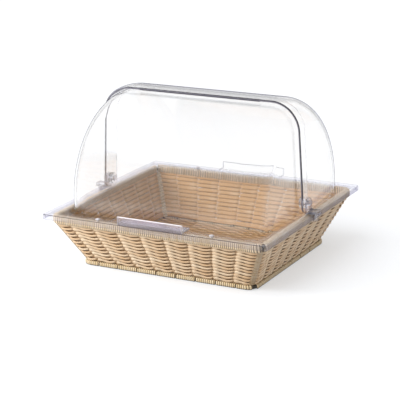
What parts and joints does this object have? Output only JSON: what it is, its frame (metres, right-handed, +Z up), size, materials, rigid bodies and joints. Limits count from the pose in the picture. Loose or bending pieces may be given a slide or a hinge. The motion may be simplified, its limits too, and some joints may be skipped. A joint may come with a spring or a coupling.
{
  "type": "countertop bread display bin",
  "caption": "Flared woven tray basket with a clear frame on its rim and two clear quarter-round covers that roll over each other on one hinge line.",
  "frame": {"origin": "on the surface that the bin stands on, under the middle of its overall length and depth", "axes": "+X along the hinge line of the covers, to the right as seen from the serving side; -Y towards the serving side; +Z up"},
  "size_m": [0.3684, 0.3286, 0.2435],
  "materials": {
    "woven_strand": "satin extruded strand, slightly streaked cream",
    "wrapped_strand": "satin extruded strand, wound close",
    "hoop_steel": "satin dark brown lacquer",
    "clear_plastic": "clear polycarbonate, polished",
    "pin_plastic": "smoke-tinted smooth plastic",
    "rivet_plastic": "pale smooth plastic"
  },
  "bodies": {
    "base": {"basket_wall": "woven_strand", "basket_courses": "woven_strand", "basket_stakes": "woven_strand", "basket_floor": "woven_strand", "corner_post_front_left": "wrapped_strand", "corner_post_front_right": "wrapped_strand", "corner_post_rear_left": "wrapped_strand", "corner_post_rear_right": "wrapped_strand", "rim_wrap_front_left": "wrapped_strand", "rim_wrap_rear_right": "wrapped_strand", "foot_wraps_front": "wrapped_strand", "foot_wraps_rear": "wrapped_strand", "foot_wraps_left": "wrapped_strand", "foot_wraps_right": "wrapped_strand", "rim_hoop": "hoop_steel", "foot_hoop": "hoop_steel", "clear_frame": "clear_plastic", "hinge_bracket_left": "clear_plastic", "hinge_bracket_right": "clear_plastic", "hinge_pin_left": "pin_plastic", "hinge_pin_right": "pin_plastic", "frame_rivet_front_left": "rivet_plastic", "frame_rivet_front_right": "rivet_plastic", "frame_rivet_rear_left": "rivet_plastic", "frame_rivet_rear_right": "rivet_plastic"},
    "front_cover": {"front_cover": "clear_plastic", "front_handle": "clear_plastic"},
    "rear_cover": {"rear_cover": "clear_plastic", "rear_handle": "clear_plastic"}
  },
  "joints": [
    {"name": "front_cover_hinge", "type": "hinge", "parent": "base", "child": "front_cover", "pos_m": [0, 0, 0.097], "axis": [-1, 0, 0], "range_deg": [0, 50]},
    {"name": "rear_cover_hinge", "type": "hinge", "parent": "base", "child": "rear_cover", "pos_m": [0, 0, 0.097], "axis": [1, 0, 0], "range_deg": [0, 34]}
  ]
}
